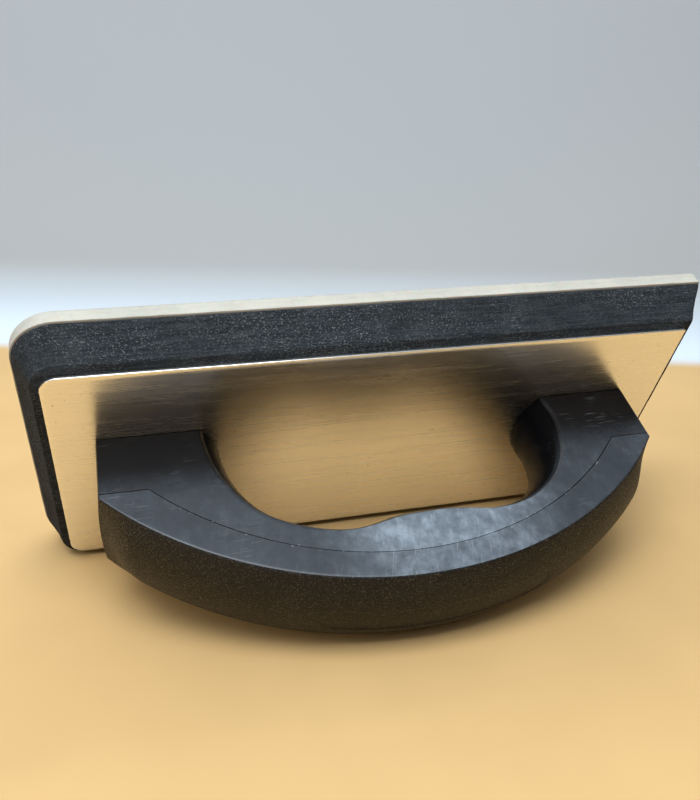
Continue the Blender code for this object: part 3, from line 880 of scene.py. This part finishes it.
def half_face(reach, crown, ease, outward, steps):
    """Half of a crowned face, from its middle to a rounded edge and one more point down the side."""
    turn_in = HALF_WIDTH - ease
    widths = [turn_in * math.sin(math.pi / 2 * step / steps) for step in range(steps + 1)]
    if outward > 0:
        widths = sorted(widths + [PANEL_HALF_WIDTH + PANEL_EDGE * row for row in PANEL_ROWS])
    points = [(y, reach + outward * arc_sag(y, HALF_WIDTH, crown)) for y in widths]
    radius = (HALF_WIDTH**2 + crown**2) / (2 * crown)
    slope = -outward * turn_in / math.sqrt(radius**2 - turn_in**2)
    start = Vector(points[-1])
    corner = Vector((HALF_WIDTH, start.y + slope * ease))
    stop = corner - Vector((0.0, outward * (corner - start).length))
    for step in range(1, EASE_STEPS + 1):
        t = step / EASE_STEPS
        points.append(tuple(start * (1 - t) ** 2 + corner * (2 * t * (1 - t)) + stop * t * t))
    return points + [(HALF_WIDTH, stop.y - outward * SIDE_SUPPORT)]


def handle_ring(angle, outer_steps, inner_steps, sunk):
    """One closed cross-section, standing at its angle round the handle's middle."""
    outer = half_face(outer_reach(angle), outer_crown(angle), OUTER_EASE, 1, outer_steps)
    inner = half_face(inner_reach(angle), FINGER_CROWN, INNER_EASE, -1, inner_steps)
    half = inner + outer[::-1]
    mirrored = [(-y, reach) for y, reach in half[::-1]]
    ring = []
    for y, reach in half + mirrored[1:-1]:
        if sunk and reach > outer_reach(angle):
            reach -= panel_drop(reach * math.cos(angle), y)
        ring.append((MIDDLE + reach * math.cos(angle), y, BASE + reach * math.sin(angle)))
    return ring


def arch_angles():
    """Angles of the sections, with one on each corner between an end wall and the arch."""
    corner = math.atan2(END_WALL_HEIGHT, HALF_LENGTH)
    angles = [math.pi * step / ARCH_STEPS for step in range(ARCH_STEPS + 1)]
    apart = math.pi / ARCH_STEPS / 2
    angles = [a for a in angles if abs(a - corner) > apart and abs(math.pi - a - corner) > apart]
    return sorted(angles + [corner, math.pi - corner])


print("sections along the arch:", len(arch_angles()))

# %% [markdown]
# ## Handle: splitting it at the seam
#
# The two mouldings meet on one surface, so both start as the same loft and a cutting tool shaped like
# the seam parts them. The body is cut a little lower than the cover, which leaves the seam's fine gap,
# and a Bevel breaks the fresh sharp edges, so that the gap shows as a thin double line.

# %% The seam's cutting tool
CLEAR = 0.02
SEAM_STEPS = 90
SEAM_NARROWS = (0.30, 0.62)
BROKEN_EDGE = 0.00018


def above_seam(drop_at_end, drop_in_middle):
    """A solid that holds everything above the seam. Its drop below the seam changes along the arch."""
    corner = HALF_LENGTH - LEDGE_LENGTH
    start = math.asin((ledge_height - seam_centre) / seam_radius)
    profile = [(HALF_LENGTH + CLEAR, ledge_height - drop_at_end)]
    for step in range(SEAM_STEPS + 1):
        turn = start + (math.pi - 2 * start) * step / SEAM_STEPS
        towards_middle = 1 - abs(2 * step / SEAM_STEPS - 1)
        drop = drop_at_end + (drop_in_middle - drop_at_end) * between(*SEAM_NARROWS, towards_middle)
        radius = seam_radius - drop
        profile.append((radius * math.cos(turn), seam_centre + radius * math.sin(turn)))
    profile[1] = (corner, ledge_height - drop_at_end)
    profile[-1] = (-corner, ledge_height - drop_at_end)
    profile += [(-HALF_LENGTH - CLEAR, ledge_height - drop_at_end)]
    profile += [(-HALF_LENGTH - CLEAR, GRIP_HEIGHT + CLEAR), (HALF_LENGTH + CLEAR, GRIP_HEIGHT + CLEAR)]
    sides = (-HALF_WIDTH - CLEAR, HALF_WIDTH + CLEAR)
    return loft("seam_tool", [[(MIDDLE + x, y, BASE + z) for x, z in profile] for y in sides])


def soften_seam(piece):
    """Breaks the sharp edges left by the cut."""
    bevel = piece.modifiers.new("broken_edge", "BEVEL")
    bevel.limit_method = "ANGLE"
    bevel.angle_limit = math.radians(60)
    bevel.width = BROKEN_EDGE
    bevel.segments = 2
    bevel.harden_normals = True
    piece.data.shade_smooth()
    piece.data.set_sharp_from_angle(angle=math.radians(40))


print("seam tool:", len(above_seam(0.0, 0.0).polygons), "faces")

# %% [markdown]
# ## Handle body
#
# The inner moulding: the part of the loft below the seam. Its flat sides take the satin with its wear and
# painted sheen, and the finger side a darker copy with weak reflections and little bloom, which is painted
# shade.

# %% Piece: handle body
HIDDEN_OUTER_STEPS = 8
FLAT_SIDE = 0.7
rings = [handle_ring(angle, HIDDEN_OUTER_STEPS, INNER_STEPS, False) for angle in arch_angles()]
inner_moulding = make_piece("inner_moulding", loft("inner_moulding", rings), satin_body, satin_finger_side_shaded)
cut(inner_moulding, above_seam(SEAM_GAP, SEAM_GAP_IN_GRIP))
for face in inner_moulding.data.polygons:
    face.material_index = 0 if abs(face.normal.y) > FLAT_SIDE else 1
soften_seam(inner_moulding)
print("inner moulding:", len(inner_moulding.data.polygons), "faces")

# %% [markdown]
# ## Grip cover
#
# The outer moulding: the part of the same loft above the seam. Its side bands are satin like the body
# and its outer face is grained as far as the rounded edges, so each face of the mesh gets one of two
# materials by where it lies and how it faces.

# %% Piece: grip cover
HIDDEN_INNER_STEPS = 4
FLAT_BAND = 0.9
rings = [handle_ring(angle, OUTER_STEPS, HIDDEN_INNER_STEPS, True) for angle in arch_angles()]
outer_moulding = make_piece("outer_moulding", loft("outer_moulding", rings), satin_band, grained_plastic)
cut(outer_moulding, above_seam(0.0, 0.0), "INTERSECT")
for face in outer_moulding.data.polygons:
    place = face.center - Vector((MIDDLE, 0.0, BASE))
    angle = math.atan2(place.z, place.x)
    on_outside = math.hypot(place.x, place.z) > outer_reach(angle) - 2 * OUTER_EASE
    face.material_index = 1 if on_outside and abs(face.normal.y) < FLAT_BAND else 0
soften_seam(outer_moulding)
print("outer moulding:", len(outer_moulding.data.polygons), "faces")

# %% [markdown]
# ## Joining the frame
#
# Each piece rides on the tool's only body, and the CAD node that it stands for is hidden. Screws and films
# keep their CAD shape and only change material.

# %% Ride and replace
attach(rubber_sole, "root")
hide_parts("rubber_sole")

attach(foam_block, "root")
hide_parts("foam_pad")

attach(plate_sheet, "root")
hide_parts("backing_plate")

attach(inner_moulding, "root")
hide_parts("handle_body")

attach(outer_moulding, "root")
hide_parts("grip_cover")

FILMS = [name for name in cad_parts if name.endswith("adhesive_film")]
for names, finish in ((SCREWS, zinc_steel), (FILMS, glue_film)):
    for name in names:
        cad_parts[name].data.materials.clear()
        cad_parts[name].data.materials.append(finish)

# %% [markdown]
# ## The table and the sweep behind it
#
# One sheet makes floor and background: flat under the tool, then curving up into a pale bluish wall, painted
# lighter at its foot and darker higher up as a painted fall-off of light. Seen from behind it would hide the
# tool, so its back is see-through, and it doesn't block light either.

# %% Shape of the table and the sweep
TABLE_WIDTH = 3.0
FRONT = 1.6
FLAT_BEHIND = 0.204
BEND_RADIUS = 0.05
WALL_HEIGHT = 2.2
BEND_STEPS = 24
EDGE_SLANT = 0.337
UNDER_TOOL = 0.0002
away = (-near - EDGE_SLANT * across).normalized()
sideways = away.cross(up)
sweep = [(-FRONT, 0.0), (-0.2, 0.0), (0.0, 0.0), (FLAT_BEHIND, 0.0)]
for step in range(1, BEND_STEPS + 1):
    turn = math.pi / 2 * step / BEND_STEPS
    sweep.append((FLAT_BEHIND + BEND_RADIUS * math.sin(turn), BEND_RADIUS * (1 - math.cos(turn))))
sweep.append((FLAT_BEHIND + BEND_RADIUS, WALL_HEIGHT))
points = []
for back, rise in sweep:
    for side in (-TABLE_WIDTH / 2, TABLE_WIDTH / 2):
        points.append(rest_on_sole + away * back + up * (rise - UNDER_TOOL) + sideways * side)
faces = [(2 * i, 2 * i + 1, 2 * i + 3, 2 * i + 2) for i in range(len(sweep) - 1)]
mesh = bpy.data.meshes.new("table")
mesh.from_pydata(points, [], faces)
mesh.shade_smooth()
if mesh.polygons[0].normal.dot(up) < 0:
    mesh.flip_normals()
print("table and sweep:", len(faces), "faces")

# %% Material: apricot paper
APRICOT_DARK = (0.74, 0.495, 0.220)
APRICOT = (0.78, 0.525, 0.235)
WALL_FOOT_LIT = (0.78, 0.90, 1.0)
WALL_ABOVE_SHADED = (0.60, 0.69, 0.79)
table_paper, tree, shader, place = start_material("apricot_paper", Roughness=0.6, Specular_IOR_Level=0.12)
past_sole = vector_maths(tree, "DOT_PRODUCT", place, tuple(away), "Value")
past_sole = calculate(tree, "SUBTRACT", past_sole, rest_on_sole.dot(away))
to_wall = fade(tree, past_sole, FLAT_BEHIND - 0.010, FLAT_BEHIND + 0.012)
risen = vector_maths(tree, "DOT_PRODUCT", place, tuple(up), "Value")
risen = calculate(tree, "SUBTRACT", risen, rest_on_sole.dot(up))
# Painted fall-off of light: the wall is painted lighter at its foot and darker higher up.
wall_light_falloff = blend_colours(tree, fade(tree, risen, 0.0, 0.30), WALL_FOOT_LIT, WALL_ABOVE_SHADED)
warm = blend_colours(tree, fade(tree, speckled(tree, place, 0.05, 2.0), 0.3, 0.7), APRICOT_DARK, APRICOT)
tree.links.new(blend_colours(tree, to_wall, warm, wall_light_falloff), shader.inputs["Base Color"])
path = tree.nodes.new("ShaderNodeLightPath").outputs
seen = calculate(tree, "MAXIMUM", path["Is Camera Ray"], path["Is Glossy Ray"])
facing = tree.nodes.new("ShaderNodeNewGeometry").outputs["Backfacing"]
solid = times(tree, seen, calculate(tree, "SUBTRACT", 1.0, facing))
clear = tree.nodes.new("ShaderNodeBsdfTransparent").outputs["BSDF"]
mixed = add_node(tree, "ShaderNodeMixShader", {0: solid, 1: clear, 2: shader.outputs["BSDF"]}).outputs[0]
tree.links.new(mixed, tree.nodes["Material Output"].inputs["Surface"])
make_piece("table", mesh, table_paper)
print("material:", table_paper.name)

# %% [markdown]
# ## Light
#
# A pale world fills every side, cool above and warm near the table. What the camera sees of it is one
# even pale tone. The main softbox hangs above the tool and a little in front, so that its light also
# reaches the table through the finger opening. A long one behind draws the bright line on the plate's
# long edge, and a small one at the side lights the rounded end.

# %% World
BELOW_TABLE = (0.34, 0.215, 0.085)
NEAR_TABLE = (0.060, 0.032, 0.009)
OVERHEAD = (0.62, 0.70, 0.79)
SEEN_BEHIND = (0.62, 0.65, 0.69)
world = bpy.data.worlds.new("studio")
bpy.context.scene.world = world
world.use_nodes = True
tree = world.node_tree
direction = tree.nodes.new("ShaderNodeTexCoord").outputs["Generated"]
lift = vector_maths(tree, "DOT_PRODUCT", direction, tuple(up), "Value")
fill = blend_colours(tree, fade(tree, lift, -0.3, 0.0), BELOW_TABLE, NEAR_TABLE)
fill = blend_colours(tree, fade(tree, lift, 0.3, 0.9), fill, OVERHEAD)
seen = tree.nodes.new("ShaderNodeLightPath").outputs["Is Camera Ray"]
tree.links.new(blend_colours(tree, seen, fill, SEEN_BEHIND), tree.nodes["Background"].inputs["Color"])
tree.nodes["Background"].inputs["Strength"].default_value = 1.0
print("world:", world.name)

# %% Softboxes
middle = (cad_low + cad_high) / 2


def add_softbox(name, offset, aim, size, power, colour):
    """A rectangular light at an offset from the tool's middle, turned to its aim."""
    data = bpy.data.lights.new(name, "AREA")
    data.shape = "RECTANGLE"
    data.size, data.size_y = size
    data.energy = power
    data.color = colour
    box = bpy.data.objects.new(name, data)
    bpy.context.scene.collection.objects.link(box)
    box.location = middle + offset
    box.rotation_mode = "QUATERNION"
    box.rotation_quaternion = (aim - box.location).to_track_quat("-Z", "Y")


overhead = up * 0.9 + near * 0.33 + across * 0.20
behind = up * 0.8 - near * 0.75
beside = up * 0.5 + across * 0.9 + near * 0.3
add_softbox("overhead_box", overhead, middle, (0.7, 0.5), 7.3, (0.96, 0.98, 1.0))
add_softbox("back_box", behind, middle - near * 0.2, (1.4, 0.4), 3.6, (0.98, 0.99, 1.0))
add_softbox("side_box", beside, middle, (0.5, 0.5), 1.5, (1.0, 0.98, 0.95))
